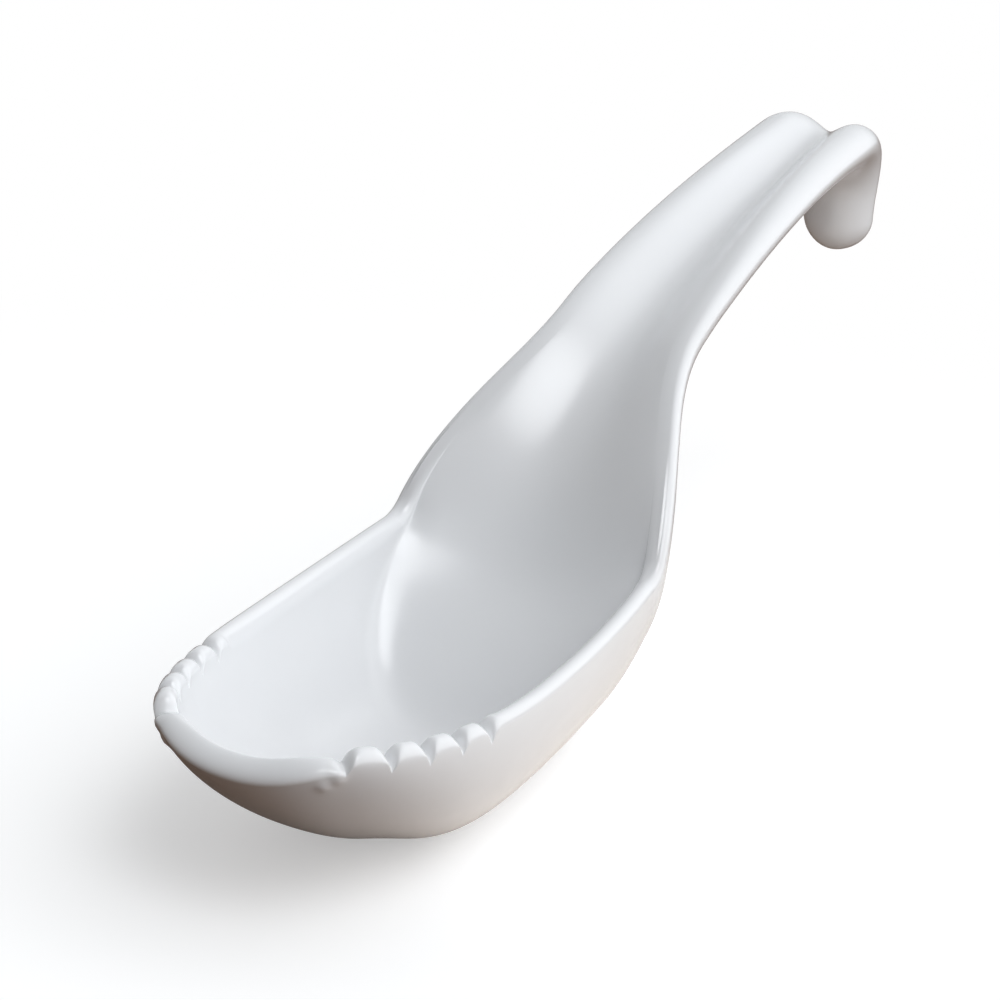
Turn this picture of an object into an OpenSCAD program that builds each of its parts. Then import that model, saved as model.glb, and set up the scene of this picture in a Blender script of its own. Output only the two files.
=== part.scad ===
// Noodle soup spoon: a deep boat-shaped bowl with a smooth front lip between two rows of
// teeth, a channelled swan-neck handle and a hooked end. Sizes are in millimetres.
// Z is up, the front lip points to -X and the hook to +X. The origin is the middle of the foot.

/* [Bowl] */
// Width over the rim at the widest place
bowl_w = 46; // [40:0.5:54]
// Length from the deepest place to the front of the rim, before the lip is cut lower
nose_len = 45; // [42:0.5:50]
// Squareness of the front outline from above, 2 is an ellipse
nose_square = 2.25; // [2.1:0.05:2.5]
// Rim length from the deepest place back to the neck
back_len = 30.5; // [27:0.5:36]
// Width over the rim at the neck
neck_w = 42.5; // [38:0.5:45]
// Height of the rim at its lowest place
rim_low = 25.4; // [22:0.2:30]
// How far the lowest rim lies ahead of the deepest place
rim_low_ahead = 5.5; // [2:0.5:8]
// Radius of the upward curve of the rim to the front lip in side view
rim_curve_r = 190; // [150:5:240]
// Radius of the upward curve of the rim to the neck in side view
rim_back_r = 320; // [260:10:400]
// Thickness of the wall at the rim
wall_t = 3; // [2.4:0.1:3.6]
// Thickness of the floor
floor_t = 4; // [3:0.1:5]
// Squareness of the outside section at the sides, 2 is an ellipse
outside_square = 1.95; // [1.85:0.05:2.05]
// Squareness of the inside section at the sides
inside_square = 2.1; // [2:0.05:2.2]
// Squareness of the leaner outside section at the neck
heel_square = 1.65; // [1.6:0.05:1.75]
// Squareness of the leaner outside section under the front lip
nose_outside_square = 1.42; // [1.4:0.02:1.5]
// Squareness of the inside section under the front lip
nose_inside_square = 1.56; // [1.5:0.02:1.6]
// How far the middle of the front lip lies under the tips of the teeth
lip_drop = 4.5; // [3:0.1:5.5]
// How far the ends of the front lip lie under the tips of the teeth
lip_end_drop = 0.6; // [0.4:0.1:1.5]

/* [Teeth] */
// Number of teeth on each side
tooth_count = 4; // [2:1:4]
// Distance from tooth to tooth along the spoon
tooth_pitch = 5.6; // [5:0.1:6.2]
// Height of a tooth above the ledge that it stands on
tooth_h = 2.6; // [2:0.1:3.2]
// Distance from the front of the rim to the first tooth
first_tooth_at = 7.4; // [6.6:0.1:8]
// Length of the sloping end of the ledge
ledge_ramp = 0.8; // [0.5:0.1:1.2]

/* [Handle] */
// Radius of the bend where the rim turns up into the handle
neck_bend_r = 5; // [4:0.5:10]
// How far the bowl's heel leans back under the neck bend, in degrees
heel_slope = 22; // [18:1:26]
// Length over which the sections turn square to the handle behind the neck
fan_len = 25; // [20:1:30]
// Slope of the handle above the neck bend, in degrees
rise_slope = 54; // [45:1:58]
// Radius of the steep part of the handle
rise_r = 72; // [64:1:80]
// Slope where the steep part ends, in degrees
reach_slope = 19; // [15:1:22]
// Radius of the flatter part of the handle
reach_r = 220; // [190:5:250]
// Slope where the hook starts, in degrees
crest_slope = 5; // [2:0.5:8]
// Length over which the neck narrows to the grip
flare_len = 41; // [36:1:46]
// Width of the grip behind the neck
grip_w = 23.4; // [20:0.2:26]
// Depth of the channel in the grip
channel_depth = 4.6; // [4:0.1:5.4]
// Thickness of the handle under the channel
handle_t = 2.5; // [2.3:0.1:3.2]
// Distance behind the deepest place where the depth of the back wall is given
back_wall_at = 20; // [18:0.5:22]
// How much deeper than the channel the back wall is at that place
back_wall_depth = 9.9; // [8.5:0.1:11]
// Length over which that depth falls to about a third
back_wall_run = 12.9; // [11:0.1:14]
// How much higher the back wall is at its sides than in its middle
back_bulge = 7; // [5:0.5:8]
// Reach of the rounded corner between the back wall and the side walls
corner_r = 4.8; // [3:0.2:6]
// Distance behind the deepest place where the underside starts to rise
heel_start = 22; // [20:0.5:24]
// Distance behind the deepest place where the bowl has become the channel
channel_from = 54; // [50:1:60]

/* [Hook] */
// Radius of the hook over its ridges
hook_r = 14.5; // [13:0.5:16]
// Slope of the end of the hook, in degrees
hook_slope = -90; // [-100:1:-80]
// Length of the straight end
hook_end_len = 4.6; // [3:0.2:6]
// Width of the hook where it starts
hook_w = 17.6; // [16:0.2:19]
// Width of the hook at its end
hook_tip_w = 14; // [12:0.5:15.5]
// Thickness of each ridge where the hook starts
hook_ridge_t = 4.8; // [4.2:0.1:5.4]
// Depth of the groove between the ridges where the hook starts
hook_groove = 2.4; // [2:0.1:2.8]
// Depth of the groove at the end
tip_groove = 0.6; // [0.4:0.1:1]
// Thickness of the hook under the groove
hook_t = 4.8; // [4.4:0.1:5.6]

/* [Foot] */
// Length of the foot
foot_len = 45; // [40:0.5:46]
// Width of the foot
foot_w = 12; // [9:0.5:13]
// Height of the foot
foot_h = 0.8; // [0.6:0.1:1.2]
// Distance of the middle of the foot behind the deepest place
foot_behind = 15; // [14:0.5:15.5]

/* [Hidden] */

spoon_white = [0.93, 0.94, 0.95];
half_bowl = bowl_w / 2;
half_neck = neck_w / 2;
half_grip = grip_w / 2;
half_hook = hook_w / 2;
half_tip = hook_tip_w / 2;
pole_x = -foot_behind;
left = -1;
right = 1;

// How far the rounded underside is cut off to make the flat that the foot sits on
underside_cut = 2;
// Length of the hook's rounded tip compared with half its thickness
tip_stretch = 1.8;
// How far round the nose the lean front sections reach before they turn into the side sections
nose_blend = 7.5;
// Squareness of the foot from above, 2 is an ellipse
foot_square = 2.4;
foot_points = 48;
// Place of the crest across the rim and across the lip, 0 is inside and 1 is outside
rim_crest = 0.55;
lip_crest = 0.25;
// Reach of the corner between back wall and side walls where it meets the rim
least_corner_r = 0.01;
// How close to the rim that corner starts to get sharper, a higher value is closer
corner_fade = 12;
// A depth that no section reaches
far_down = 10 * bowl_w;

// Steps of the meshes
wall_steps = 10;
rim_steps = 6;
lip_rows = 8;
tooth_rows = 6;
shoulder_rows = 5;
back_rows = 14;
row_points = 2 * (wall_steps + 1) + rim_steps;
loop_points = 2 * row_points - 2;

function mix(a, b, t) = a + (b - a) * t;
function clip(t) = min(1, max(0, t));
function smooth(t) = pow(clip(t), 2) * (3 - 2 * clip(t));
function flip(list) = [for (i = [len(list) - 1:-1:0]) list[i]];

// The rim in side view is a chain of arcs that starts above the deepest place.
// A step is [x, z, slope], and an arc runs from one slope to another with one radius.
function arc_step(from, r, slope, f) =
    let (a = mix(from[2], slope, f))
    let (turn = sign(slope - from[2]))
    [from[0] + turn * r * (sin(a) - sin(from[2])), from[1] - turn * r * (cos(a) - cos(from[2])), a];
function arc_len(r, a, b) = r * abs(b - a) * PI / 180;
function rim_height(x) = rim_low + pow(x + rim_low_ahead, 2) / (2 * rim_curve_r);

pole_slope = asin(rim_low_ahead / rim_curve_r);
neck_slope = pole_slope + back_len / rim_back_r * 180 / PI;
at_pole = [0, rim_height(0), pole_slope];
at_neck = arc_step(at_pole, rim_back_r, neck_slope, 1);
at_rise = arc_step(at_neck, neck_bend_r, rise_slope, 1);
at_reach = arc_step(at_rise, rise_r, reach_slope, 1);
at_crest = arc_step(at_reach, reach_r, crest_slope, 1);
at_end = arc_step(at_crest, hook_r, hook_slope, 1);
rise_from = back_len + arc_len(neck_bend_r, neck_slope, rise_slope);
reach_from = rise_from + arc_len(rise_r, rise_slope, reach_slope);
crest_from = reach_from + arc_len(reach_r, reach_slope, crest_slope);
end_from = crest_from + arc_len(hook_r, crest_slope, hook_slope);
tip_from = end_from + hook_end_len;

function straight_step(from, run) = [from[0] + run * cos(from[2]), from[1] + run * sin(from[2]), from[2]];
function part_of(s, a, b) = (s - a) / (b - a);

// Place and slope of the rim at the distance s behind the deepest place
function rim_step(s) =
    s <= back_len ? arc_step(at_pole, rim_back_r, neck_slope, s / back_len) :
    s <= rise_from ? arc_step(at_neck, neck_bend_r, rise_slope, part_of(s, back_len, rise_from)) :
    s <= reach_from ? arc_step(at_rise, rise_r, reach_slope, part_of(s, rise_from, reach_from)) :
    s <= crest_from ? arc_step(at_reach, reach_r, crest_slope, part_of(s, reach_from, crest_from)) :
    s <= end_from ? arc_step(at_crest, hook_r, hook_slope, part_of(s, crest_from, end_from)) :
    straight_step(at_end, s - end_from);

// Share of the way from bowl to channel inside and outside, from neck to grip, from grip to hook
// and along the hook. The inside turns into a soft wave on both sides of the neck bend.
soft_from = back_len - neck_bend_r;
soft_to = back_len + flare_len / 2;
function soft_share(s) = smooth(part_of(s, soft_from, soft_to));
function heel_share(s) = smooth(part_of(s, heel_start, channel_from));
function flare_share(s) = smooth((s - back_len) / flare_len);
grip_from = back_len + flare_len / 2;
hook_blend_len = 20;
function hook_width_share(s) = smooth(part_of(s, grip_from, crest_from));
function hook_depth_share(s) = smooth(part_of(s, crest_from - hook_blend_len, crest_from + hook_r));
function tip_share(s) = smooth(part_of(s, crest_from, tip_from));

function half_width(s) =
    s <= back_len ? mix(half_bowl, half_neck, pow(s / back_len, 2)) :
    s <= crest_from ? mix(mix(half_neck, half_grip, flare_share(s)), half_hook, hook_width_share(s)) :
    mix(half_hook, half_tip, tip_share(s));
function ridge_t(s) =
    s <= crest_from ? mix(wall_t, hook_ridge_t, hook_width_share(s)) :
    hook_ridge_t * half_width(s) / half_hook;

// Lean of a row's plane: upright in the bowl, square to the rim on the handle
function lean(s) =
    s <= back_len ? heel_slope * smooth(s / back_len) :
    mix(heel_slope, rim_step(s)[2], smooth((s - back_len) / fan_len));

// Depths under the rim in that plane. Without the heel, the floor and the underside are level.
floor_z = foot_h + floor_t;
underside_z = foot_h - underside_cut;
function level_depth(s, bottom_z) =
    (min(rim_step(s)[1], at_neck[1]) - bottom_z) / cos(max(0, min(lean(s), heel_slope)));
function groove(s) = mix(hook_groove, tip_groove, tip_share(s));
function back_depth(s) =
    let (wall = channel_depth + back_wall_depth * exp((back_wall_at - s) / back_wall_run))
    mix(wall, groove(s), hook_depth_share(s));
function side_bulge(s) = back_bulge * smooth(part_of(s, back_wall_at / 2, back_wall_at * 3 / 2));
function outside_depth(s) =
    let (channel = mix(level_depth(s, underside_z), channel_depth + handle_t, heel_share(s)))
    mix(channel, groove(s) + hook_t, hook_depth_share(s));

function outside_squareness(s) =
    s <= back_len ? mix(outside_square, heel_square, smooth(s / back_len)) :
    mix(heel_square, 2, flare_share(s));

// Height of the inside at the distance y from the middle: the wall and floor of the bowl meet the
// sloping back wall in a rounded corner, and behind the neck they turn into a soft wave. The
// corner is sharper at the rim, so that the rim keeps its height.
function inside_height(y, crest_y, height, back) =
    let (slope = -back[0] + back[1] * pow(y / crest_y, 2))
    let (reach = max(least_corner_r, corner_r * (1 - pow(y / crest_y, corner_fade))))
    let (near = max(0, reach - abs(height - slope)))
    let (wave = -back[0] * (1 + cos(180 * y / crest_y)) / 2)
    mix(max(height, slope) + near * near / (4 * reach), wave, back[2]);

// Angle at which the curve of a wall ends when its top is cut off at this depth
function wall_end(cut, depth, square) = acos(pow(min(1, cut / depth), square / 2));

// Half of a cross section, from the middle of the inside over the rim to the middle of the
// outside. A point is [distance from the middle, height over the rim]. The walls are cut off
// at a depth and end in a round rim or in a flat ledge. The back wall is
// [depth, rise to the sides, share of the wave].
function half_section(half_w, t, crest, depths, squares, back, cut, flat) =
    let (round = t / 2)
    let (depth_in = depths[0] - round)
    let (depth_out = depths[1] - round)
    let (end_in = wall_end(cut, depth_in, squares[0]))
    let (end_out = wall_end(cut, depth_out, squares[1]))
    let (inner = (half_w - t) * pow(sin(end_in), 2 / squares[0]))
    let (outer = half_w * pow(sin(end_out), 2 / squares[1]))
    let (crest_y = mix(inner, outer, crest))
    concat(
        [for (i = [0:wall_steps])
            let (a = end_in * i / wall_steps)
            let (y = (half_w - t) * pow(sin(a), 2 / squares[0]))
            let (height = -round - depth_in * pow(cos(a), 2 / squares[0]))
            [y, inside_height(y, crest_y, height, back)]],
        [for (i = [1:rim_steps])
            let (a = 180 - 180 * i / (rim_steps + 1))
            let (y = crest_y + (a > 90 ? crest_y - inner : outer - crest_y) * cos(a))
            let (height = -cut - round * (flat ? 1 : 1 - sin(a)))
            [y, a > 90 ? inside_height(y, crest_y, height, back) : height]],
        [for (i = [wall_steps:-1:0])
            let (a = end_out * i / wall_steps)
            [half_w * pow(sin(a), 2 / squares[1]), -round - depth_out * pow(cos(a), 2 / squares[1])]]
    );

// The front of the rim from above, by the distance x behind the deepest place or by an angle
function front_at(x) = [x, half_bowl * pow(1 - pow(-x / nose_len, nose_square), 1 / nose_square)];
function front_turned(a) =
    [-nose_len * pow(cos(a), 2 / nose_square), half_bowl * pow(sin(a), 2 / nose_square)];

// Wall thickness along the ray to a place on the front rim, so that the wall stays even
function wall_along(p) =
    let (slope_x = pow(-p[0] / nose_len, nose_square - 1) / nose_len)
    let (slope_y = pow(p[1] / half_bowl, nose_square - 1) / half_bowl)
    wall_t * norm(p) * norm([slope_x, slope_y]) / (-p[0] * slope_x + p[1] * slope_y);

function front_point(p, reach, z) =
    [pole_x + p[0] / norm(p) * reach, p[1] / norm(p) * reach, max(foot_h, z)];
no_back_wall = [far_down, 0, 0];
function front_row(p, crest, cut, flat) =
    let (z = rim_height(p[0]))
    let (side = pow(p[1] / half_bowl, nose_blend))
    let (square_in = mix(nose_inside_square, inside_square, side))
    let (square_out = mix(nose_outside_square, outside_square, side))
    let (squares = [square_in, square_out])
    let (depths = [z - floor_z, z - underside_z])
    [for (q = half_section(norm(p), wall_along(p), crest, depths, squares, no_back_wall, cut, flat))
        front_point(p, q[0], z + q[1])];
function rim_row(p) = front_row(p, rim_crest, 0, false);
function ledge_row(p) = front_row(p, rim_crest, tooth_h - wall_along(p) / 2, true);

// The lip dips towards its middle, and its crest lies near its inside
function lip_row(a) =
    let (p = front_turned(a))
    let (dip = smooth((ledge_from - p[0]) / first_tooth_at))
    front_row(p, lip_crest, mix(lip_end_drop, lip_drop, dip), false);

// A half row behind the deepest place, in its leaning plane
function back_row(s) =
    let (at = rim_step(s))
    let (squares = [inside_square, outside_squareness(s)])
    let (depths = [level_depth(s, floor_z), outside_depth(s)])
    let (back = [back_depth(s), side_bulge(s), soft_share(s)])
    [for (q = half_section(half_width(s), ridge_t(s), rim_crest, depths, squares, back, 0, false))
        [pole_x + at[0] - q[1] * sin(lean(s)), q[0], max(foot_h, at[1] + q[1] * cos(lean(s)))]];

function mirrored(row) = [for (p = row) [p[0], -p[1], p[2]]];

// Rows of the bowl on the right side, from the neck forward to the front lip
ledge_from = -nose_len + first_tooth_at;
ledge_to = ledge_from + tooth_count * tooth_pitch;
lip_end = front_at(ledge_from - ledge_ramp);
lip_angle = acos(pow(-lip_end[0] / nose_len, nose_square / 2));
ledge_steps = tooth_count * tooth_rows;
right_rows = concat(
    [for (i = [back_rows:-1:0]) back_row(back_len * i / back_rows)],
    [for (i = [1:shoulder_rows]) rim_row(front_at((ledge_to + ledge_ramp) * i / shoulder_rows))],
    [for (i = [ledge_steps:-1:0]) ledge_row(front_at(mix(ledge_from, ledge_to, i / ledge_steps)))],
    [for (i = [lip_rows:-1:1]) lip_row(lip_angle * i / lip_rows)]
);
bowl_rows = concat(
    right_rows,
    [lip_row(0)],
    [for (row = flip(right_rows)) mirrored(row)]
);

module bowl() {
    rows = len(bowl_rows);
    inner = row_points - 2;
    centre_in = rows * inner;
    centre_out = centre_in + back_rows + 1;
    function centre(i) = min(i, rows - 1 - i, back_rows);
    function at(i, j) =
        j == 0 ? centre_in + centre(i) :
        j == row_points - 1 ? centre_out + centre(i) :
        i * inner + j - 1;
    function triangle(a, b, c) = a == b || b == c || a == c ? [] : [[a, b, c]];
    skin = [for (i = [0:rows - 2])
        for (j = [0:row_points - 2])
        each concat(
            triangle(at(i, j), at(i + 1, j + 1), at(i, j + 1)),
            triangle(at(i, j), at(i + 1, j), at(i + 1, j + 1))
        )];
    last = row_points - 1;
    end = rows - 1;
    cap = [for (j = [0:row_points / 2 - 2])
        each [
            [at(0, j), at(0, j + 1), at(0, last - 1 - j)],
            [at(0, j), at(0, last - 1 - j), at(0, last - j)],
            [at(end, j), at(end, last - 1 - j), at(end, j + 1)],
            [at(end, j), at(end, last - j), at(end, last - 1 - j)]
        ]];
    points = concat(
        [for (row = bowl_rows) for (j = [1:row_points - 2]) row[j]],
        [for (i = [0:back_rows]) bowl_rows[i][0]],
        [for (i = [0:back_rows]) bowl_rows[i][row_points - 1]]
    );
    color(spoon_white) polyhedron(points, concat(skin, cap), convexity = 10);
}

// A solid through closed loops of points that follow each other to +X. Its end faces are
// strips between the inside and the outside of the section.
module channel_solid(loops) {
    last = row_points - 1;
    end = len(loops) - 1;
    function at(i, j) = i * loop_points + j % loop_points;
    function other(j) = (loop_points - j) % loop_points;
    skin = [for (i = [0:end - 1])
        for (j = [0:loop_points - 1])
        each [
            [at(i, j), at(i, j + 1), at(i + 1, j + 1)],
            [at(i, j), at(i + 1, j + 1), at(i + 1, j)]
        ]];
    cap = [for (j = [0:row_points / 2 - 2])
        let (near = [j, j + 1, last - 1 - j, last - j])
        let (far = [for (k = near) other(k)])
        each [
            [at(0, near[0]), at(0, near[2]), at(0, near[1])],
            [at(0, near[0]), at(0, near[3]), at(0, near[2])],
            [at(0, far[0]), at(0, far[1]), at(0, far[2])],
            [at(0, far[0]), at(0, far[2]), at(0, far[3])],
            [at(end, near[0]), at(end, near[1]), at(end, near[2])],
            [at(end, near[0]), at(end, near[2]), at(end, near[3])],
            [at(end, far[0]), at(end, far[2]), at(end, far[1])],
            [at(end, far[0]), at(end, far[3]), at(end, far[2])]
        ]];
    points = [for (loop = loops) each loop];
    polyhedron(points, concat(skin, cap), convexity = 10);
}

function whole_loop(row) = concat(row, [for (j = [row_points - 2:-1:1]) mirrored(row)[j]]);

// Distances of the handle's rows: close together in the neck bend, wider along the grip
neck_rows = 5;
grip_rows = 18;
handle_places = concat(
    [for (i = [0:neck_rows]) mix(back_len, rise_from, i / neck_rows)],
    [for (i = [1:grip_rows]) mix(rise_from, crest_from, i / grip_rows)]
);

module handle() {
    color(spoon_white) channel_solid([for (s = handle_places) whole_loop(back_row(s))]);
}

// The hook's tip is its last row drawn in along a quarter ellipse
bend_rows = 12;
tip_rows = 5;
tip_flat = 0.97;
hook_deep = tip_groove + hook_t;
function tip_loop(f) =
    let (at = rim_step(tip_from))
    let (shrink = sqrt(1 - f * f))
    let (out = f * hook_deep / 2 * tip_stretch)
    let (middle = [at[0] + hook_deep / 2 * sin(at[2]) + pole_x, 0, at[1] - hook_deep / 2 * cos(at[2])])
    let (ahead = [out * cos(at[2]), 0, out * sin(at[2])])
    [for (p = whole_loop(back_row(tip_from))) middle + (p - middle) * shrink + ahead];

module hook() {
    bend = [for (i = [0:bend_rows]) whole_loop(back_row(mix(crest_from, end_from, i / bend_rows)))];
    tip = [for (i = [0:tip_rows]) tip_loop(tip_flat * i / tip_rows)];
    color(spoon_white) channel_solid(concat(bend, tip));
}

// A tooth is a row of upright sections on the ledge: low ends, a full round top
tooth_start = 0.07;
tooth_low = 0.3;
tooth_flank = 0.28;
tooth_round = 0.6;
function tooth_height(u) =
    let (from_end = 0.5 - tooth_start - abs(u - 0.5))
    tooth_h * mix(tooth_low, 1, smooth(from_end / tooth_flank));
function tooth_section(p, height) =
    let (ledge = ledge_row(p))
    let (inner = ledge[wall_steps])
    let (outer = ledge[wall_steps + rim_steps + 1])
    let (r = min(wall_t / 2, height * tooth_round))
    concat(
        [inner],
        [for (i = [0:rim_steps + 1])
            let (a = 180 - 180 * i / (rim_steps + 1))
            mix(inner, outer, (1 + cos(a)) / 2) + [0, 0, height - r + r * sin(a)]],
        [outer]
    );
function tooth_sections(k) = [for (i = [0:tooth_rows])
    let (u = mix(tooth_start, 1 - tooth_start, i / tooth_rows))
    tooth_section(front_at(ledge_from + (k + u) * tooth_pitch), tooth_height(u))];

module tooth(sections, side) {
    count = len(sections[0]);
    end = len(sections) - 1;
    function at(i, j) = i * count + j % count;
    function wound(face) = side == left ? flip(face) : face;
    skin = [for (i = [0:end - 1])
        for (j = [0:count - 1])
        each [
            [at(i, j), at(i, j + 1), at(i + 1, j + 1)],
            [at(i, j), at(i + 1, j + 1), at(i + 1, j)]
        ]];
    caps = [for (j = [1:count - 2])
        each [
            [at(0, 0), at(0, j + 1), at(0, j)],
            [at(end, 0), at(end, j), at(end, j + 1)]
        ]];
    points = [for (section = sections) for (p = section) [p[0], side * p[1], p[2]]];
    polyhedron(points, [for (face = concat(skin, caps)) wound(face)], convexity = 4);
}

module tooth_group(side) {
    color(spoon_white) for (k = [0:tooth_count - 1]) tooth(tooth_sections(k), side);
}
module left_teeth() { tooth_group(left); }
module right_teeth() { tooth_group(right); }

function foot_outline(a) =
    [sign(cos(a)) * foot_len / 2 * pow(abs(cos(a)), 2 / foot_square),
     sign(sin(a)) * foot_w / 2 * pow(abs(sin(a)), 2 / foot_square)];

module foot() {
    color(spoon_white) linear_extrude(foot_h)
        polygon([for (i = [0:foot_points - 1]) foot_outline(360 * i / foot_points)]);
}

bowl();
left_teeth();
right_teeth();
handle();
hook();
foot();
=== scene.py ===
import math

import bpy
import numpy as np
from mathutils import Matrix, Vector


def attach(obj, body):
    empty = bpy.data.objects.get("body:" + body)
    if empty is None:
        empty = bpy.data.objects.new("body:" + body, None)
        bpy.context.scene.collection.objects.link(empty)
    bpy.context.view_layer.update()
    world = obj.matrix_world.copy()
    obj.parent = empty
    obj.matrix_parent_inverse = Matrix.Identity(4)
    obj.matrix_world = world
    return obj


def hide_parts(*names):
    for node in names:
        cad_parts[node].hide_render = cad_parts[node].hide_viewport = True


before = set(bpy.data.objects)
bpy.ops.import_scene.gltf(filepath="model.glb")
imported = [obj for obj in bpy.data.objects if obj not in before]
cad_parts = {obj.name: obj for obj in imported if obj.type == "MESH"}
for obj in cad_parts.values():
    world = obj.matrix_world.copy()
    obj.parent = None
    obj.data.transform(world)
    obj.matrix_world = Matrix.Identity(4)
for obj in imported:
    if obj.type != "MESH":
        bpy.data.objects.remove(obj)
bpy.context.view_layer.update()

# Melamine
# All of the spoon is one glossy white moulding compound with a faint cloudiness in its colour,
# a slightly uneven polish and a very fine ripple left by the mould.
cloud_scale = 45.0
polish_scale = 160.0
ripple_scale = 420.0
ripple_height = 0.00002
ripple_strength = 0.12
white_light = (0.87, 0.875, 0.885, 1.0)
white_deep = (0.83, 0.838, 0.855, 1.0)
polish_smooth = 0.16
polish_worn = 0.24
glaze_weight = 0.6
glaze_roughness = 0.14
melamine_ior = 1.52

surface = bpy.data.node_groups.new("melamine_surface", "ShaderNodeTree")
surface.interface.new_socket("Colour", in_out="OUTPUT", socket_type="NodeSocketColor")
surface.interface.new_socket("Polish", in_out="OUTPUT", socket_type="NodeSocketFloat")
surface.interface.new_socket("Ripple", in_out="OUTPUT", socket_type="NodeSocketVector")
surface_place = surface.nodes.new("ShaderNodeTexCoord")
surface_out = surface.nodes.new("NodeGroupOutput")


def surface_noise(scale):
    """A noise that is fixed to the piece, at a scale of its own."""
    noise = surface.nodes.new("ShaderNodeTexNoise")
    noise.inputs["Scale"].default_value = scale
    surface.links.new(surface_place.outputs["Object"], noise.inputs["Vector"])
    return noise.outputs[0]


def colour_mix(nodes, first, second):
    """A node that turns one colour into another, given as its factor socket and its result."""
    node = nodes.new("ShaderNodeMix")
    node.data_type = "RGBA"
    first_socket, second_socket = [socket for socket in node.inputs if socket.type == "RGBA"]
    first_socket.default_value = first
    second_socket.default_value = second
    return node.inputs[0], [socket for socket in node.outputs if socket.type == "RGBA"][0]


cloud_factor, cloud_colour = colour_mix(surface.nodes, white_light, white_deep)
surface.links.new(surface_noise(cloud_scale), cloud_factor)
surface.links.new(cloud_colour, surface_out.inputs["Colour"])
polish_range = surface.nodes.new("ShaderNodeMapRange")
polish_range.inputs["To Min"].default_value = polish_smooth
polish_range.inputs["To Max"].default_value = polish_worn
surface.links.new(surface_noise(polish_scale), polish_range.inputs["Value"])
surface.links.new(polish_range.outputs["Result"], surface_out.inputs["Polish"])
ripple_bump = surface.nodes.new("ShaderNodeBump")
ripple_bump.inputs["Strength"].default_value = ripple_strength
ripple_bump.inputs["Distance"].default_value = ripple_height
surface.links.new(surface_noise(ripple_scale), ripple_bump.inputs["Height"])
surface.links.new(ripple_bump.outputs["Normal"], surface_out.inputs["Ripple"])

melamine = bpy.data.materials.new("white_melamine")
melamine.use_nodes = True
melamine_shader = melamine.node_tree.nodes["Principled BSDF"]
melamine_shader.inputs["IOR"].default_value = melamine_ior
melamine_shader.inputs["Coat Weight"].default_value = glaze_weight
melamine_shader.inputs["Coat Roughness"].default_value = glaze_roughness
melamine_surface = melamine.node_tree.nodes.new("ShaderNodeGroup")
melamine_surface.node_tree = surface
for effect, socket_name in (("Colour", "Base Color"), ("Polish", "Roughness"), ("Ripple", "Normal")):
    melamine.node_tree.links.new(melamine_surface.outputs[effect], melamine_shader.inputs[socket_name])

# Rim line
# The spoon is one moulding, and all of it follows the line of its rim. Seen from the side that is a
# shallow curve along the bowl, then a chain of arcs up the handle and over the hook, in millimetres.
rim_low = 25.4
rim_low_ahead = 5.5
rim_curve_r = 190.0
back_len = 30.5
rim_back_r = 320.0
neck_bend_r = 5.0
rise_slope = math.radians(54)
rise_r = 72.0
reach_slope = math.radians(19)
reach_r = 220.0
crest_slope = math.radians(5)
hook_r = 14.5
hook_slope = math.radians(-90)
hook_end_len = 3.8


def mix(a, b, t):
    return a + (b - a) * t


def rim_height(x):
    """Height of the rim's smooth curve along the front of the bowl."""
    return rim_low + (x + rim_low_ahead) ** 2 / (2 * rim_curve_r)


def arc_step(start, radius, slope, share):
    """Place and slope part of the way along an arc, from its start to where it has a new slope."""
    start_x, start_z, start_slope = start
    angle = mix(start_slope, slope, share)
    turn = math.copysign(1, slope - start_slope)
    return (
        start_x + turn * radius * (math.sin(angle) - math.sin(start_slope)),
        start_z - turn * radius * (math.cos(angle) - math.cos(start_slope)),
        angle,
    )


# Each arc is kept as its distance along the rim, its start, its radius and its end slope.
rim_arcs = []
arc_from = 0.0
arc_start = (0.0, rim_height(0.0), math.asin(rim_low_ahead / rim_curve_r))
neck_slope = arc_start[2] + back_len / rim_back_r
for arc_r, arc_slope in (
    (rim_back_r, neck_slope),
    (neck_bend_r, rise_slope),
    (rise_r, reach_slope),
    (reach_r, crest_slope),
    (hook_r, hook_slope),
):
    rim_arcs.append((arc_from, arc_start, arc_r, arc_slope))
    arc_from += arc_r * abs(arc_slope - arc_start[2])
    arc_start = arc_step(arc_start, arc_r, arc_slope, 1.0)
_, neck_arc, rise_arc, _, hook_arc = rim_arcs
neck_z = neck_arc[1][1]
rise_from = rise_arc[0]
crest_from = hook_arc[0]
end_from = arc_from
end_step = arc_start
tip_from = end_from + hook_end_len


def rim_step(s):
    """Place and slope of the rim at a distance behind the deepest place, straight after the arcs."""
    if s > end_from:
        end_x, end_z, end_slope = end_step
        run = s - end_from
        return end_x + run * math.cos(end_slope), end_z + run * math.sin(end_slope), end_slope
    start_at, start, radius, slope = [arc for arc in rim_arcs if arc[0] <= s][-1]
    return arc_step(start, radius, slope, (s - start_at) / (radius * abs(slope - start[2])))


# Wall
# The moulding has a curved wall inside and one outside, which meet in a level crest at the rim.
# Half a cross section is drawn at a time, with heights measured from the rim's smooth curve.
wall_steps = 56
wall_fit_rounds = 4
rim_steps = 16
rim_handle = 0.55
crest_sink = 0.1


def half_wall(reach_full, wall, depth, square, rounding, cut):
    """A wall from the middle to where its rim starts, and the tangent there."""
    free = depth - wall / 2
    reach = reach_full
    for _ in range(wall_fit_rounds):
        low = min(1.0, max(0.0, (float(cut(reach)) + rounding - wall / 2) / free))
        end = math.acos(low ** (square / 2))
        reach = reach_full * math.sin(end) ** (2 / square)
    turn = np.linspace(0, end, wall_steps + 1)
    reaches = reach_full * np.sin(turn) ** (2 / square)
    heights = -wall / 2 - free * np.abs(np.cos(turn)) ** (2 / square)
    tangent = np.array([reaches[-1] - reaches[-2], heights[-1] - heights[-2]])
    return reaches, heights, tangent / np.linalg.norm(tangent)


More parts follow.
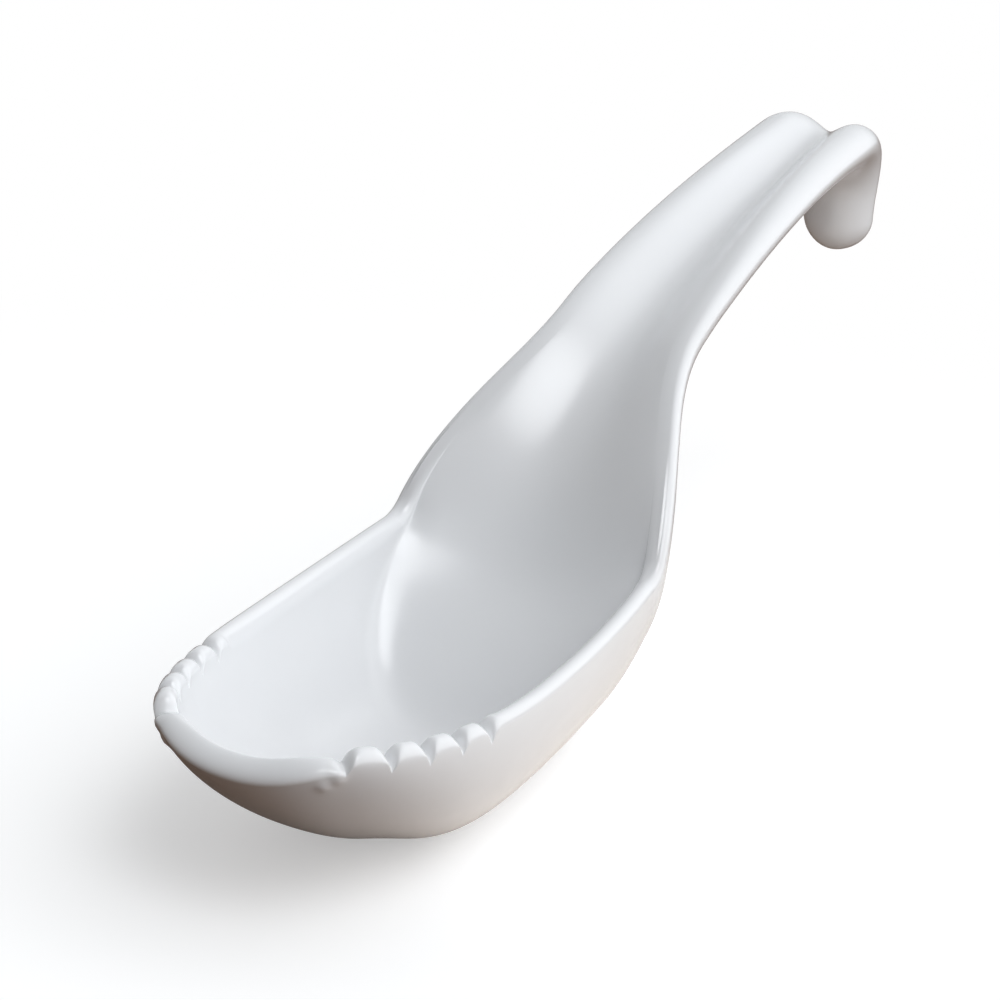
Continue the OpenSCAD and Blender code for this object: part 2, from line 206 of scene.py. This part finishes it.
def half_rim(reach, height, tangent, crest_at, crest_handle, cut):
    """A curve from the end of a wall, along its tangent, to the level crest of the rim."""
    low = height + float(cut(reach))
    rise = -crest_sink - low
    share = np.linspace(0, 1, rim_steps + 1)[1:]
    knots = (
        np.array([reach, low]),
        np.array([reach, low]) + tangent * rim_handle * rise,
        np.array([mix(crest_at, reach, crest_handle), -crest_sink]),
        np.array([crest_at, -crest_sink]),
    )
    weights = ((1 - share) ** 3, 3 * share * (1 - share) ** 2, 3 * share**2 * (1 - share), share**3)
    curve = sum(weight[:, None] * knot for weight, knot in zip(weights, knots))
    return curve[:, 0], curve[:, 1] - cut(curve[:, 0])


def half_section(half_w, wall, crest, depths, squares, rounds, handle_out, cut):
    """Reaches and heights of half a section: the inside up to the crest, and the outside back down."""
    reach_in, height_in, tangent_in = half_wall(half_w - wall, wall, depths[0], squares[0], rounds[0], cut)
    reach_out, height_out, tangent_out = half_wall(half_w, wall, depths[1], squares[1], rounds[1], cut)
    crest_at = mix(reach_in[-1], reach_out[-1], crest)
    rim_in = half_rim(reach_in[-1], height_in[-1], tangent_in, crest_at, rim_handle, cut)
    rim_out = half_rim(reach_out[-1], height_out[-1], tangent_out, crest_at, handle_out, cut)
    inside = np.concatenate([(reach_in, height_in), rim_in], axis=1)
    outside = np.concatenate([(reach_out, height_out), rim_out], axis=1)
    return inside, outside[:, -2::-1]


# Toothed rim
# Four round teeth with sharp notches stand on each side of the bowl's rim. In front of them the rim
# drops to a smooth lip, which is lowest in the middle. Both are moulded in one with the bowl.
nose_len = 45.0
first_tooth_at = 7.4
tooth_count = 4
tooth_pitch = 5.6
tooth_h = 2.3
tooth_bulge = 3.6
notch_round = 0.2
lip_drop = 4.1
lip_end_drop = 1.7
lip_dip = 2.0
ledge_from = -nose_len + first_tooth_at
ledge_to = ledge_from + tooth_count * tooth_pitch


def notch(near):
    """Depth of a notch, from 0 on top of a tooth to 1 in the notch's slightly rounded bottom."""
    above = np.hypot(1 - near**tooth_bulge, notch_round)
    top = math.hypot(1, notch_round)
    return (top - above) / (top - notch_round)


def rim_cut(x):
    """How far the rim lies under its smooth curve, along the lip, the teeth and behind them."""
    place = (np.asarray(x, dtype=float) - ledge_from) / tooth_pitch
    inside = notch(np.abs(2 * (place - np.floor(place)) - 1)) * tooth_h
    behind = notch(np.clip(1 - 2 * (place - tooth_count), 0, 1)) * tooth_h
    lip = mix(lip_end_drop, lip_drop, np.clip(-place * tooth_pitch / first_tooth_at, 0, 1) ** lip_dip)
    ahead = mix(lip, tooth_h, notch(np.clip(1 + 2 * place, 0, 1)))
    return np.where(place < 0, ahead, np.where(place > tooth_count, behind, inside))


# Front of the bowl
# In front of its deepest place the bowl is boat-shaped, with a rounded nose and a flat underneath
# for the foot. Its rows of points run along rays from the deepest place to the rim.
half_bowl = 23.0
nose_square = 2.25
wall_t = 3.0
floor_t = 4.0
foot_h = 0.8
foot_behind = 15.0
underside_cut = 2.0
flat_softness = 1.2
inside_square = 2.1
outside_square = 1.95
nose_inside_square = 1.56
nose_outside_square = 1.42
nose_blend = 7.5
rim_crest = 0.6
rim_round_in = 2.6
rim_round_out = 1.4
tooth_crest = 0.5
tooth_round = 1.0
tooth_round_blend = 3.0
lip_t = 4.4
lip_crest = 0.2
lip_handle = 0.3
lip_round_in = 0.8
lip_round_out = 2.9
lip_end_round = 1.6
lip_blend_len = 2.5
floor_z = foot_h + floor_t
underside_z = foot_h - underside_cut
pole_x = -foot_behind


def smooth(t):
    t = np.clip(t, 0.0, 1.0)
    return t * t * (3 - 2 * t)


def over_flat(z):
    """Keeps the underside above the flat that the foot sits on, with a soft edge round it."""
    above = z - foot_h
    return foot_h + (above + np.sqrt(above * above + flat_softness**2)) / 2


def front_row(turn):
    """A half row in front of the deepest place, along a ray to the rim."""
    x = -nose_len * math.cos(turn) ** (2 / nose_square)
    y = half_bowl * math.sin(turn) ** (2 / nose_square)
    z = rim_height(x)
    reach = math.hypot(x, y)
    ray = np.array([x, y]) / reach
    lean_x = (-x / nose_len) ** (nose_square - 1) / nose_len
    lean_y = (y / half_bowl) ** (nose_square - 1) / half_bowl
    normal = np.array([-lean_x, lean_y]) / math.hypot(lean_x, lean_y)
    along = np.array([normal[1], -normal[0]])
    sheer = float(ray @ along)

    def cut(reaches):
        """Notches run square to the rim, so a point is cut like the rim straight outside it."""
        return rim_cut(x - (reach - reaches) * sheer * along[0])

    to_side = (y / half_bowl) ** nose_blend
    to_middle = smooth((ledge_from - x) / first_tooth_at)
    to_lip = smooth((ledge_from - x) / lip_blend_len)
    to_rim = smooth((x - ledge_to) / tooth_round_blend)
    wall = mix(wall_t, lip_t, to_middle) / float(ray @ normal)
    crest = mix(mix(tooth_crest, rim_crest, to_rim), mix(tooth_crest, lip_crest, to_middle), to_lip)
    depths = (z - floor_z, z - underside_z)
    squares = (
        mix(nose_inside_square, inside_square, to_side),
        mix(nose_outside_square, outside_square, to_side),
    )
    lip_round = mix(lip_end_round, lip_round_out, to_middle)
    rounds = (
        mix(mix(tooth_round, rim_round_in, to_rim), lip_round_in, to_lip),
        mix(mix(tooth_round, rim_round_out, to_rim), lip_round, to_lip),
    )
    handle_out = mix(rim_handle, lip_handle, to_middle)
    section = half_section(reach, wall, crest, depths, squares, rounds, handle_out, cut)
    reaches, heights = np.concatenate(section, axis=1)
    return np.stack([pole_x + ray[0] * reaches, ray[1] * reaches, over_flat(z + heights)], axis=1)


# Back of the bowl and handle
# Behind its deepest place the bowl narrows to the neck over a thick heel. Its back wall flows into
# the channel of the handle, between two ridges that carry the rim on up to the hook.
half_neck = 21.25
half_grip = 11.7
flare_len = 41.0
fan_len = 25.0
heel_lean = math.radians(22)
heel_start = 22.0
heel_square = 1.65
handle_square = 2.0
handle_t = 3.1
channel_from = 54.0
channel_depth = 4.0
back_wall_depth = 9.9
back_wall_at = 20.0
back_wall_run = 12.9
back_bulge = 7.0
bulge_start = 10.0
bulge_len = 20.0
corner_r = 4.8
least_corner_r = 0.01
corner_fade = 12.0
soft_start = 25.5
soft_end = 51.0
grip_from = back_len + flare_len / 2

# Over the hook the ridges draw together and the channel fades to a groove.
half_hook = 9.4
half_tip = 5.9
hook_t = 7.0
hook_ridge_t = 4.8
hook_crest = 0.2
hook_round = 3.8
hook_square = 2.1
hook_groove = 1.9
hook_blend_len = 20.0
tip_groove = 0.6


def no_cut(reaches):
    return np.zeros_like(reaches)


def back_wall(reach, height, depth, bulge, soft):
    """Heights of the inside raised to the back wall, with a rounded corner, or to a soft channel."""
    across = reach / reach[-1]
    slope = -depth + bulge * across**2
    corner = np.maximum(least_corner_r, corner_r * (1 - np.abs(across) ** corner_fade))
    near = np.maximum(0, corner - np.abs(height - slope))
    channel = -crest_sink - (depth - crest_sink) * (1 + np.cos(math.pi * across)) / 2
    return mix(np.maximum(height, slope) + near * near / (4 * corner), channel, soft)


def back_row(s):
    """A half row behind the deepest place, in a plane that leans back with the handle."""
    x, z, slope = rim_step(s)
    to_neck = smooth(s / back_len)
    to_grip = smooth((s - back_len) / flare_len)
    to_channel = smooth((s - heel_start) / (channel_from - heel_start))
    to_hook = smooth((s - grip_from) / (crest_from - grip_from))
    to_groove = smooth((s - crest_from + hook_blend_len) / (hook_r + hook_blend_len))
    to_tip = smooth((s - crest_from) / (tip_from - crest_from))
    if s <= back_len:
        half_w = mix(half_bowl, half_neck, (s / back_len) ** 2)
        lean = heel_lean * to_neck
    else:
        half_w = mix(half_neck, half_grip, to_grip)
        lean = mix(heel_lean, slope, smooth((s - back_len) / fan_len))
    half_w = mix(mix(half_w, half_hook, to_hook), half_tip, to_tip)
    ridge = mix(wall_t, hook_ridge_t, to_hook)
    if s > crest_from:
        ridge *= half_w / half_hook
    crest = mix(rim_crest, hook_crest, to_hook)
    groove = mix(hook_groove, tip_groove, to_tip)
    low = min(z, neck_z)
    tilt = math.cos(max(0.0, min(lean, heel_lean)))
    heel_depth = mix((low - underside_z) / tilt, channel_depth + handle_t, to_channel)
    depths = ((low - floor_z) / tilt, mix(heel_depth, groove + hook_t, to_groove))
    square_out = mix(mix(outside_square, heel_square, to_neck), handle_square, to_grip)
    squares = (inside_square, mix(square_out, hook_square, to_hook))
    rounds = (rim_round_in, mix(rim_round_out, hook_round, to_hook))
    inside, outside = half_section(half_w, ridge, crest, depths, squares, rounds, rim_handle, no_cut)
    wall_depth = channel_depth + back_wall_depth * math.exp((back_wall_at - s) / back_wall_run)
    bulge = back_bulge * smooth((s - bulge_start) / bulge_len)
    soft = smooth((s - soft_start) / (soft_end - soft_start))
    inside[1] = back_wall(inside[0], inside[1], mix(wall_depth, groove, to_groove), bulge, soft)
    reaches, heights = np.concatenate([inside, outside], axis=1)
    return np.stack(
        [pole_x + x - heights * math.sin(lean), reaches, over_flat(z + heights * math.cos(lean))],
        axis=1,
    )


# Rounded end of the hook
# The hook's stub closes in a rounded end of the same melamine, moulded in one with it.
# Its last row of points is drawn in to one point along a quarter ellipse.
tip_length = 1.4


def tip_row(share):
    """The last row of the hook, drawn in by a share of the rounded end."""
    deep = tip_groove + hook_t
    x, z, slope = rim_step(tip_from)
    middle = np.array([x + pole_x + deep / 2 * math.sin(slope), 0.0, z - deep / 2 * math.cos(slope)])
    out = share * deep / 2 * tip_length
    ahead = np.array([out * math.cos(slope), 0.0, out * math.sin(slope)])
    return middle + (back_row(tip_from) - middle) * math.sqrt(1 - share * share) + ahead


# Rows of the skin
# The whole skin of the moulding is a grid of half rows, from the front lip to the end of the hook.
# Round the front they are spaced by their distance along the rim, closest on the teeth.
turn_steps = 4000
front_row_gap = 0.5
tooth_row_gap = 0.18
back_row_gap = 0.6
bend_row_gap = 0.2
tip_rows = 24


def evenly(start, end, gap):
    """Places from the start to before the end, no further apart than the gap."""
    count = max(1, math.ceil((end - start) / gap))
    return [mix(start, end, i / count) for i in range(count)]


turns = np.linspace(0, math.pi / 2, turn_steps + 1)
turn_x = -nose_len * np.cos(turns) ** (2 / nose_square)
turn_y = half_bowl * np.sin(turns) ** (2 / nose_square)
turn_run = np.concatenate([[0.0], np.cumsum(np.hypot(np.diff(turn_x), np.diff(turn_y)))])
teeth_start = np.interp(ledge_from - tooth_pitch, turn_x, turn_run)
teeth_end = np.interp(ledge_to + tooth_pitch, turn_x, turn_run)
front_runs = (
    evenly(0.0, teeth_start, front_row_gap)
    + evenly(teeth_start, teeth_end, tooth_row_gap)
    + evenly(teeth_end, turn_run[-1], front_row_gap)
)
back_places = (
    evenly(0.0, back_len, back_row_gap)
    + evenly(back_len, rise_from, bend_row_gap)
    + evenly(rise_from, crest_from, back_row_gap)
    + evenly(crest_from, tip_from, back_row_gap)
)
grid = np.array(
    [front_row(turn) for turn in np.interp(front_runs, turn_run, turns)]
    + [back_row(s) for s in back_places]
    + [tip_row(math.sin(math.pi / 2 * i / tip_rows)) for i in range(tip_rows + 1)]
)
last_row, last_column = grid.shape[0] - 1, grid.shape[1] - 1
first_back_row = len(front_runs)
first_handle_row = first_back_row + sum(s < back_len for s in back_places)
first_hook_row = first_back_row + sum(s < crest_from for s in back_places)

# The back wall flows into the channel without an edge: the inside is evened out along the spoon,
# fully in the middle and not at all towards the rim.
even_len = 5.0
even_from = 12.0
even_to = 62.0
even_blend = 10.0
even_middle = 0.55
even_edge = 0.95
places = np.array(back_places)
even_rows = np.exp(-(((places[:, None] - places[None, :]) / even_len) ** 2))
even_rows *= np.gradient(places)[None, :]
even_rows /= even_rows.sum(axis=1, keepdims=True)
even_along = smooth((places - even_from) / even_blend) * (1 - smooth((places - even_to) / even_blend))
wall_share = np.arange(last_column + 1) / wall_steps
even_across = 1 - smooth((wall_share - even_middle) / (even_edge - even_middle))
back_part = grid[first_back_row : first_back_row + len(places)]
even_part = np.einsum("ik,kjc->ijc", even_rows, back_part)
back_part[:] = mix(back_part, even_part, (even_along[:, None] * even_across[None, :])[:, :, None])

# Skin
# Both sides are joined into one set of points, the +Y side first, so that they share their middle.
# The pieces below are cut from it and keep its normals, as the real spoon has no seam.
mm = 0.001
merge_digits = 5
least_normal = 1e-12
mirror_y = np.array([1, -1, 1])
both_grids = np.concatenate([grid.reshape(-1, 3), (grid * mirror_y).reshape(-1, 3)])
skin_points, skin_index = np.unique(np.round(both_grids, merge_digits), axis=0, return_inverse=True)
skin_index = skin_index.reshape(2, last_row + 1, last_column + 1)


def skin_faces(sides, row_from, row_to, column_from=0, column_to=last_column):
    """Faces of some sides of the skin between two rows and two columns."""
    faces = []
    for side in sides:
        index = skin_index[side]
        for i in range(row_from, row_to):
            for j in range(column_from, column_to):
                face = [index[i, j], index[i, j + 1], index[i + 1, j + 1], index[i + 1, j]]
                face = list(dict.fromkeys(face[::-1] if side == 0 else face))
                if len(face) > 2:
                    faces.append(face)
    return faces


right_side, left_side, both_sides = (0,), (1,), (0, 1)
whole_skin = skin_faces(both_sides, 0, last_row)


def skin_normals():
    """Normal of each point of the skin, from the faces round it."""
    corners = np.array([face if len(face) == 4 else face + face[-1:] for face in whole_skin])
    across = skin_points[corners[:, 2]] - skin_points[corners[:, 0]]
    other = skin_points[corners[:, 3]] - skin_points[corners[:, 1]]
    flat = np.cross(across, other)
    total = np.zeros_like(skin_points)
    for corner in range(4):
        np.add.at(total, corners[:, corner], flat)
    return total / np.maximum(np.linalg.norm(total, axis=1, keepdims=True), least_normal)


# Two small nubs carry each row of teeth on, down the outside under the end of the lip.
nub_places = ((-38.0, 13.2, 24.6), (-38.8, 11.6, 23.4))
nub_height = 0.38
nub_r = 1.0
normals = skin_normals()
for nub_x, nub_y, nub_z in nub_places:
    for side_y in (nub_y, -nub_y):
        away = np.linalg.norm(skin_points - np.array([pole_x + nub_x, side_y, nub_z]), axis=1)
        skin_points = skin_points + normals * (nub_height * np.exp(-((away / nub_r) ** 2)))[:, None]
normals = skin_normals()


def skin_piece(name, faces, node):
    """A piece of the skin that stands for a node and keeps the whole skin's normals."""
    used, index = np.unique(np.concatenate([np.array(face) for face in faces]), return_inverse=True)
    cuts = np.cumsum([0] + [len(face) for face in faces])
    mesh = bpy.data.meshes.new(name)
    mesh.from_pydata(
        [Vector(p * mm) for p in skin_points[used]],
        [],
        [index[cuts[i] : cuts[i + 1]].tolist() for i in range(len(faces))],
    )
    mesh.polygons.foreach_set("use_smooth", [True] * len(mesh.polygons))
    mesh.materials.append(melamine)
    mesh.update()
    mesh.normals_split_custom_set_from_vertices([Vector(n) for n in normals[used]])
    piece = bpy.data.objects.new(name, mesh)
    bpy.context.scene.collection.objects.link(piece)
    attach(piece, "root")
    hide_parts(node)


# Bowl
# The deep boat-shaped bowl of melamine runs from the smooth front lip back to the neck. The teeth
# are left out of its rim, from the row of the first notch to the row of the last one.
tooth_root_columns = 4
crest_x = grid[:first_back_row, wall_steps + rim_steps, 0] - pole_x
first_tooth_row = int(np.sum(crest_x < ledge_from))
last_tooth_row = int(np.sum(crest_x < ledge_to))
tooth_column_from = wall_steps - tooth_root_columns
tooth_column_to = last_column - tooth_column_from
skin_piece(
    "spoon_bowl",
    skin_faces(both_sides, 0, first_tooth_row)
    + skin_faces(both_sides, first_tooth_row, last_tooth_row, 0, tooth_column_from)
    + skin_faces(both_sides, first_tooth_row, last_tooth_row, tooth_column_to, last_column)
    + skin_faces(both_sides, last_tooth_row, first_handle_row),
    "bowl",
)

# Left teeth
# Four round-topped teeth with sharp notches between them, on the -Y side of the rim.
# They are melamine, moulded in one with the bowl.
skin_piece(
    "spoon_left_teeth",
    skin_faces(left_side, first_tooth_row, last_tooth_row, tooth_column_from, tooth_column_to),
    "left_teeth",
)

# Right teeth
# The same row of four teeth, mirrored, on the +Y side of the rim.
# They are melamine, moulded in one with the bowl.
skin_piece(
    "spoon_right_teeth",
    skin_faces(right_side, first_tooth_row, last_tooth_row, tooth_column_from, tooth_column_to),
    "right_teeth",
)

# Handle
# The neck of the bowl turns up into a swan-neck channel between two rounded ridges.
# It is melamine, moulded in one with the bowl.
skin_piece("spoon_handle", skin_faces(both_sides, first_handle_row, first_hook_row), "handle")

# Hook
# The end of the handle bends down into a short rounded stub, with the channel fading to a groove.
# It is melamine, moulded in one with the handle.
skin_piece("spoon_hook", skin_faces(both_sides, first_hook_row, last_row), "hook")

# Foot
# A low flat oval of melamine under the bowl, with a softened lower edge, that the spoon stands on.
# It is moulded in one with the bowl, and its upper edge lies inside the bowl's underside.
foot_len = 45.0
foot_w = 12.0
foot_square = 2.4
foot_edge = 0.25
foot_sunk = 0.4
foot_points = 160
foot_edge_steps = 6
foot_rings = [(0.0, foot_h + foot_sunk)]
for i in range(foot_edge_steps + 1):
    turn = math.pi / 2 * i / foot_edge_steps
    foot_rings.append((foot_edge * (1 - math.cos(turn)), foot_edge * (1 - math.sin(turn))))
foot_verts = []
for inset, z in foot_rings:
    for i in range(foot_points):
        turn = 2 * math.pi * i / foot_points
        c, s = math.cos(turn), math.sin(turn)
        x = math.copysign((foot_len / 2 - inset) * abs(c) ** (2 / foot_square), c)
        y = math.copysign((foot_w / 2 - inset) * abs(s) ** (2 / foot_square), s)
        foot_verts.append((x * mm, y * mm, z * mm))
foot_faces = [tuple(range(foot_points))]
for ring in range(len(foot_rings) - 1):
    for i in range(foot_points):
        a = ring * foot_points + i
        b = ring * foot_points + (i + 1) % foot_points
        foot_faces.append((a, a + foot_points, b + foot_points, b))
last_ring = (len(foot_rings) - 1) * foot_points
foot_faces.append(tuple(last_ring + i for i in reversed(range(foot_points))))
foot_mesh = bpy.data.meshes.new("spoon_foot")
foot_mesh.from_pydata(foot_verts, [], foot_faces)
foot_mesh.materials.append(melamine)
foot_mesh.update()
foot = bpy.data.objects.new("spoon_foot", foot_mesh)
bpy.context.scene.collection.objects.link(foot)
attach(foot, "root")
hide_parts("foot")

# Floor and backdrop
# A plain pale floor that keeps the spoon's soft shadow and turns into a white backdrop further out.
# Only the camera sees that white; what the spoon mirrors of it is darker and slightly warm.
floor_half = 0.6
floor_level = -0.00002
floor_roughness = 0.9
floor_cloud_scale = 2.0
floor_grey_deep = 0.78
floor_grey_light = 0.80
floor_lift = 0.36
floor_white_from = 0.05
floor_white_to = 0.20
floor_warm_at = (0.030, -0.035, 0.0)
floor_dark_from = 0.045
floor_dark_to = 0.100
floor_warm = (0.85, 0.78, 0.72, 1.0)
floor_dark = (0.14, 0.08, 0.05, 1.0)
floor_mesh = bpy.data.meshes.new("floor")
floor_mesh.from_pydata(
    [(x * floor_half, y * floor_half, floor_level) for x, y in ((-1, -1), (1, -1), (1, 1), (-1, 1))],
    [],
    [(0, 1, 2, 3)],
)
floor = bpy.data.objects.new("floor", floor_mesh)
bpy.context.scene.collection.objects.link(floor)
floor_material = bpy.data.materials.new("pale_floor")
floor_material.use_nodes = True
floor_nodes = floor_material.node_tree.nodes
floor_links = floor_material.node_tree.links
floor_place = floor_nodes.new("ShaderNodeTexCoord")


def soft_range(nodes, start, end):
    """A node whose result rises softly from 0 at the start value to 1 at the end value."""
    node = nodes.new("ShaderNodeMapRange")
    node.interpolation_type = "SMOOTHSTEP"
    node.inputs["From Min"].default_value = start
    node.inputs["From Max"].default_value = end
    return node


# What the camera sees of the floor: pale with the shadow in the middle, plain white further out.
floor_shader = floor_nodes["Principled BSDF"]
floor_shader.inputs["Roughness"].default_value = floor_roughness
floor_shader.inputs["Specular IOR Level"].default_value = 0.0
floor_cloud = floor_nodes.new("ShaderNodeTexNoise")
floor_cloud.inputs["Scale"].default_value = floor_cloud_scale
floor_grey = floor_nodes.new("ShaderNodeMapRange")
floor_grey.inputs["To Min"].default_value = floor_grey_deep
floor_grey.inputs["To Max"].default_value = floor_grey_light
floor_links.new(floor_cloud.outputs[0], floor_grey.inputs["Value"])
floor_links.new(floor_grey.outputs["Result"], floor_shader.inputs["Base Color"])
floor_glow = floor_nodes.new("ShaderNodeEmission")
floor_glow.inputs["Strength"].default_value = floor_lift
floor_lit = floor_nodes.new("ShaderNodeAddShader")
floor_links.new(floor_shader.outputs[0], floor_lit.inputs[0])
floor_links.new(floor_glow.outputs[0], floor_lit.inputs[1])
floor_away = floor_nodes.new("ShaderNodeVectorMath")
floor_away.operation = "LENGTH"
floor_far = soft_range(floor_nodes, floor_white_from, floor_white_to)
floor_links.new(floor_place.outputs["Object"], floor_away.inputs[0])
floor_links.new(floor_away.outputs["Value"], floor_far.inputs["Value"])
floor_white = floor_nodes.new("ShaderNodeEmission")
floor_seen = floor_nodes.new("ShaderNodeMixShader")
floor_links.new(floor_far.outputs["Result"], floor_seen.inputs[0])
floor_links.new(floor_lit.outputs[0], floor_seen.inputs[1])
floor_links.new(floor_white.outputs[0], floor_seen.inputs[2])

# What the spoon gets back from the floor: a warm tone beside the spoon, and a dark one further away.
floor_beside = floor_nodes.new("ShaderNodeVectorMath")
floor_beside.operation = "DISTANCE"
floor_beside.inputs[1].default_value = floor_warm_at
floor_apart = soft_range(floor_nodes, floor_dark_from, floor_dark_to)
floor_factor, floor_tone = colour_mix(floor_nodes, floor_warm, floor_dark)
floor_bounce = floor_nodes.new("ShaderNodeBsdfDiffuse")
floor_links.new(floor_place.outputs["Object"], floor_beside.inputs[0])
floor_links.new(floor_beside.outputs["Value"], floor_apart.inputs["Value"])
floor_links.new(floor_apart.outputs["Result"], floor_factor)
floor_links.new(floor_tone, floor_bounce.inputs["Color"])
floor_rays = floor_nodes.new("ShaderNodeLightPath")
floor_choice = floor_nodes.new("ShaderNodeMixShader")
floor_links.new(floor_rays.outputs["Is Camera Ray"], floor_choice.inputs[0])
floor_links.new(floor_bounce.outputs[0], floor_choice.inputs[1])
floor_links.new(floor_seen.outputs[0], floor_choice.inputs[2])
floor_links.new(floor_choice.outputs[0], floor_nodes["Material Output"].inputs["Surface"])
floor_mesh.materials.append(floor_material)

# Light
# A very wide soft light from the -Y side, weaker ones from the +Y side and from behind the hook, and
# a small bright one over the front for the gloss. All are soft places in the world, without an edge.
# Each has the way to it, its strength in the middle, and the cosine of the angle at which it ends.
side_light = (Vector((0.24, -0.86, 0.26)), 1.54, 0.08)
fill_light = (Vector((0.40, 0.86, 0.22)), 0.58, 0.0)
hook_light = (Vector((0.85, 0.10, 0.50)), 0.20, 0.30)
gloss_light = (Vector((-0.30, -0.46, 0.84)), 3.6, 0.94)
soft_lights = (side_light, fill_light, hook_light, gloss_light)
room_dim = 0.07
room_colour = (0.96, 0.98, 1.0, 1.0)
backdrop_colour = (1.0, 1.0, 1.0, 1.0)
world = bpy.data.worlds.new("studio")
world.use_nodes = True
bpy.context.scene.world = world
world_nodes = world.node_tree.nodes
world_links = world.node_tree.links
world_way = world_nodes.new("ShaderNodeTexCoord")
light_total = world_nodes.new("ShaderNodeValue").outputs[0]
light_total.default_value = 0.0
for light_way, light_peak, light_end in soft_lights:
    light_turn = world_nodes.new("ShaderNodeVectorMath")
    light_turn.operation = "DOT_PRODUCT"
    light_turn.inputs[1].default_value = light_way.normalized()
    light_strength = soft_range(world_nodes, light_end, 1.0)
    light_strength.inputs["To Min"].default_value = room_dim / len(soft_lights)
    light_strength.inputs["To Max"].default_value = light_peak
    light_sum = world_nodes.new("ShaderNodeMath")
    light_sum.operation = "ADD"
    world_links.new(world_way.outputs["Generated"], light_turn.inputs[0])
    world_links.new(light_turn.outputs["Value"], light_strength.inputs["Value"])
    world_links.new(light_strength.outputs["Result"], light_sum.inputs[0])
    world_links.new(light_total, light_sum.inputs[1])
    light_total = light_sum.outputs[0]
room = world_nodes["Background"]
room.inputs["Color"].default_value = room_colour
backdrop = world_nodes.new("ShaderNodeBackground")
backdrop.inputs["Color"].default_value = backdrop_colour
world_rays = world_nodes.new("ShaderNodeLightPath")
world_choice = world_nodes.new("ShaderNodeMixShader")
world_links.new(light_total, room.inputs["Strength"])
world_links.new(world_rays.outputs["Is Camera Ray"], world_choice.inputs[0])
world_links.new(room.outputs[0], world_choice.inputs[1])
world_links.new(backdrop.outputs[0], world_choice.inputs[2])
world_links.new(world_choice.outputs[0], world_nodes["World Output"].inputs["Surface"])

# Camera
# It looks from the front and the -Y side, a little from above, at the middle of the spoon.
camera_turn = math.radians(-62.13)
camera_rise = math.radians(22.55)
camera_roll = math.radians(2.995)
camera_away = 0.520
camera_lens = 138.1
camera_sensor = 36.0
camera_nearest = 0.01
camera_target = Vector((0.01018, 0.0, 0.03679))
level_right = Vector((math.cos(camera_turn), math.sin(camera_turn), 0.0))
camera_back = Vector(
    (
        math.sin(camera_turn) * math.cos(camera_rise),
        -math.cos(camera_turn) * math.cos(camera_rise),
        math.sin(camera_rise),
    )
)
level_up = camera_back.cross(level_right)
camera_right = level_right * math.cos(camera_roll) + level_up * math.sin(camera_roll)
camera_up = level_up * math.cos(camera_roll) - level_right * math.sin(camera_roll)
camera_data = bpy.data.cameras.new("camera")
camera_data.sensor_width = camera_sensor
camera_data.lens = camera_lens
camera_data.clip_start = camera_nearest
camera = bpy.data.objects.new("camera", camera_data)
camera_axes = Matrix((camera_right, camera_up, camera_back)).transposed().to_4x4()
camera.matrix_world = Matrix.Translation(camera_target + camera_back * camera_away) @ camera_axes
bpy.context.scene.collection.objects.link(camera)
bpy.context.scene.camera = camera
bpy.context.scene.view_settings.view_transform = "Standard"
